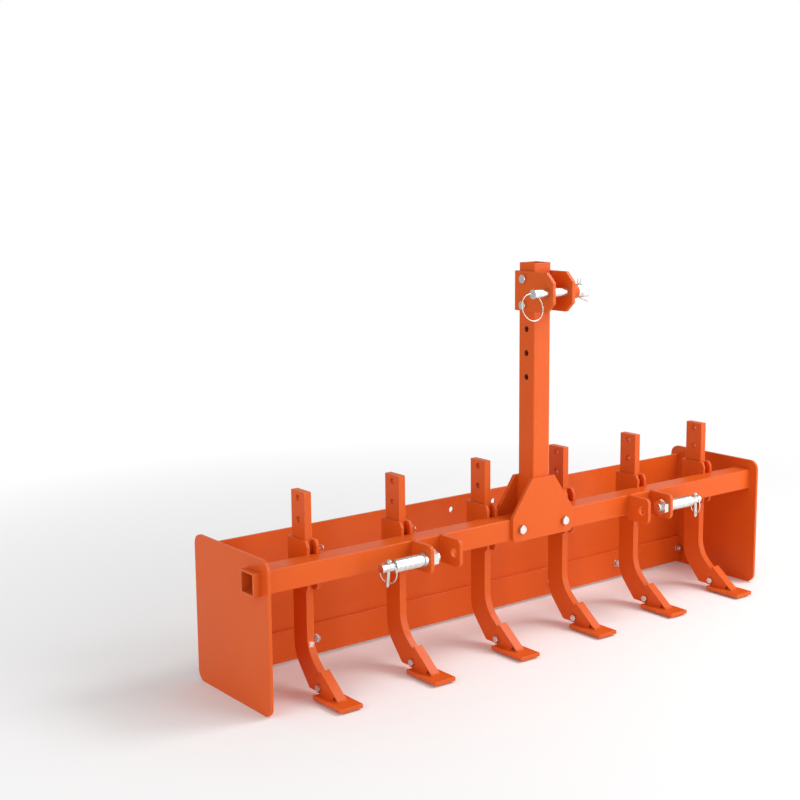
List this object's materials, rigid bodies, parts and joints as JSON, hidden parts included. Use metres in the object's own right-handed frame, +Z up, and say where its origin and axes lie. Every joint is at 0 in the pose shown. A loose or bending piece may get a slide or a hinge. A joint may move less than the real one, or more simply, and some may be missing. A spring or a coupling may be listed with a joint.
{
  "type": "tractor box blade",
  "caption": "Box scraper for a tractor's three-point hitch: end plates, rear moldboard, mast, and curved scarifiers that slide in pockets on the tool bar.",
  "frame": {"origin": "on the floor under the middle of the machine's overall box", "axes": "+X along the tool bar, to the right as seen from the tractor looking back; +Y to the machine's rear; +Z up"},
  "size_m": [1.85, 0.437, 1.0535],
  "materials": {
    "paint": "gloss powder coat",
    "shank_paint": "gloss powder coat",
    "point_paint": "gloss powder coat",
    "zinc": "zinc plated"
  },
  "bodies": {
    "frame": {"tool_bar": "paint", "end_plate_left": "paint", "end_plate_right": "paint", "moldboard": "paint", "cutting_edge": "paint", "mast": "paint", "mast_plate_front": "paint", "mast_plate_rear": "paint", "clevis_plate_left": "paint", "clevis_plate_right": "paint", "hitch_ears": "paint", "pockets": "paint", "hitch_pins": "zinc", "hitch_sleeves": "zinc", "hitch_nuts": "zinc", "top_link_pin": "zinc"},
    "scarifier_1": {"shank_1": "shank_paint", "point_1": "point_paint"},
    "scarifier_2": {"shank_2": "shank_paint", "point_2": "point_paint"},
    "scarifier_3": {"shank_3": "shank_paint", "point_3": "point_paint"},
    "scarifier_4": {"shank_4": "shank_paint", "point_4": "point_paint"},
    "scarifier_5": {"shank_5": "shank_paint", "point_5": "point_paint"},
    "scarifier_6": {"shank_6": "shank_paint", "point_6": "point_paint"}
  },
  "joints": [
    {"name": "scarifier_1_height", "type": "slide", "parent": "frame", "child": "scarifier_1", "axis": [0, 0, 1], "range_m": [-0.168, 0.056]},
    {"name": "scarifier_2_height", "type": "slide", "parent": "frame", "child": "scarifier_2", "axis": [0, 0, 1], "range_m": [-0.168, 0.056]},
    {"name": "scarifier_3_height", "type": "slide", "parent": "frame", "child": "scarifier_3", "axis": [0, 0, 1], "range_m": [-0.168, 0.056]},
    {"name": "scarifier_4_height", "type": "slide", "parent": "frame", "child": "scarifier_4", "axis": [0, 0, 1], "range_m": [-0.168, 0.056]},
    {"name": "scarifier_5_height", "type": "slide", "parent": "frame", "child": "scarifier_5", "axis": [0, 0, 1], "range_m": [-0.168, 0.056]},
    {"name": "scarifier_6_height", "type": "slide", "parent": "frame", "child": "scarifier_6", "axis": [0, 0, 1], "range_m": [-0.168, 0.056]}
  ]
}
